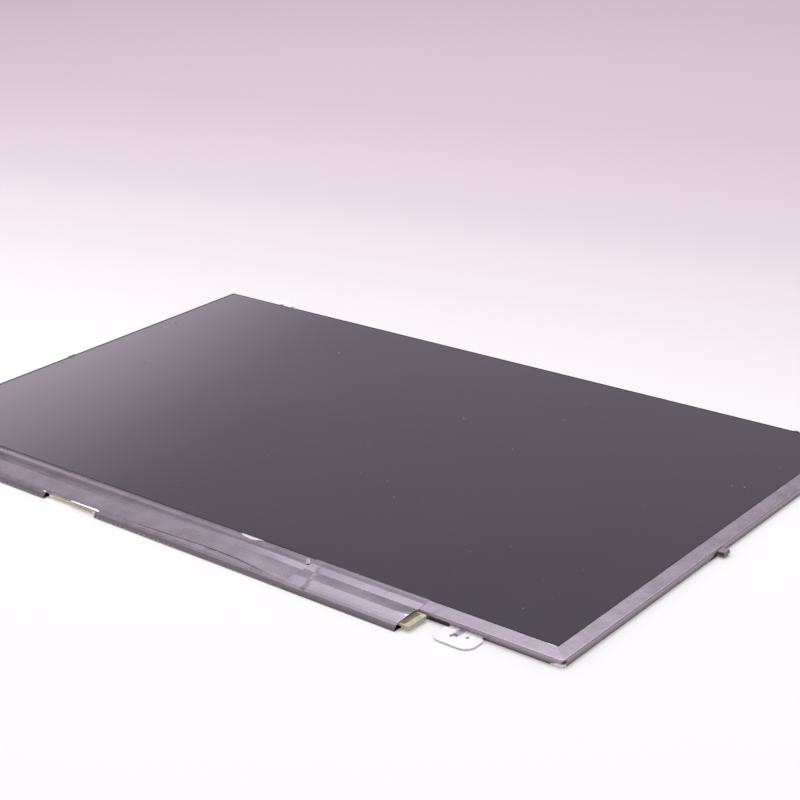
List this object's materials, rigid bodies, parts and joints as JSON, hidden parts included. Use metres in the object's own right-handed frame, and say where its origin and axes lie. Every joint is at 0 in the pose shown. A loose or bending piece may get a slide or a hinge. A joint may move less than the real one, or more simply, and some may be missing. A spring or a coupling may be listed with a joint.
{
  "type": "laptop screen panel",
  "caption": "Slim bare laptop display panel with a matte dark screen, a taped driver board along its lower edge, corner screw brackets and small side tabs.",
  "frame": {"origin": "centre of the outline in plan, brackets and board included, at the level of the rear tape", "axes": "+X to the right of the picture, +Y to the top of the picture, +Z out of the screen"},
  "size_m": [0.366, 0.2328, 0.0033],
  "materials": {
    "screen_film": "matte anti-glare coating over a switched-off screen",
    "cell_glass": "clear thin glass, ground edges",
    "rear_film": "smooth dark film",
    "black_adhesive": "matte black foam tape",
    "white_moulding": "fine matte white moulding",
    "optical_sheet": "satin translucent film",
    "clear_acrylic": "polished clear sheet",
    "white_reflector": "bright white film",
    "plate_aluminium": "plain rolled sheet",
    "flexible_strip": "white solder mask",
    "lamp_body": "white body with a yellow window",
    "board_green": "green solder mask",
    "spacer_foam": "pale green closed-cell foam",
    "driver_film": "amber film",
    "chip_silicon": "dark polished die",
    "connector_plastic": "ivory moulding",
    "connector_steel": "bright plated sheet",
    "contact_gold": "gold plated",
    "chip_black": "matte black moulding",
    "inductor_grey": "dark grey ferrite",
    "capacitor_tan": "tan ceramic",
    "edge_tape": "satin black polyester tape",
    "board_tape": "satin black polyester tape, creased",
    "bracket_steel": "bright plated steel"
  },
  "bodies": {
    "root": {"front_polarizer": "screen_film", "colour_filter_glass": "cell_glass", "array_glass": "cell_glass", "rear_polarizer": "rear_film", "cell_tape": "black_adhesive", "moulded_frame": "white_moulding", "upper_diffuser": "optical_sheet", "upper_prism_film": "optical_sheet", "lower_prism_film": "optical_sheet", "lower_diffuser": "optical_sheet", "light_guide": "clear_acrylic", "reflector_sheet": "white_reflector", "rear_plate": "plate_aluminium", "light_rail": "plate_aluminium", "light_strip": "flexible_strip", "lamps": "lamp_body", "driver_board": "board_green", "board_spacers": "spacer_foam", "source_films": "driver_film", "source_chips": "chip_silicon", "gate_chips": "chip_silicon", "input_housing": "connector_plastic", "backlight_socket": "connector_plastic", "input_shell": "connector_steel", "input_contacts": "contact_gold", "timing_chip": "chip_black", "power_chips": "chip_black", "memory_chip": "chip_black", "resistors": "chip_black", "inductors": "inductor_grey", "capacitors": "capacitor_tan", "right_edge_tape": "edge_tape", "left_edge_tape": "edge_tape", "top_edge_tape": "edge_tape", "lower_tape_right": "edge_tape", "lower_tape_left": "edge_tape", "ledge_tape": "board_tape", "board_wrap_right": "board_tape", "board_wrap_left": "board_tape", "board_cover_tape": "board_tape", "board_end_tape": "board_tape", "bracket_top_right": "bracket_steel", "bracket_top_left": "bracket_steel", "bracket_bottom_right": "bracket_steel", "bracket_bottom_left": "bracket_steel", "side_tab_right": "bracket_steel", "side_tab_left": "bracket_steel"}
  },
  "joints": []
}
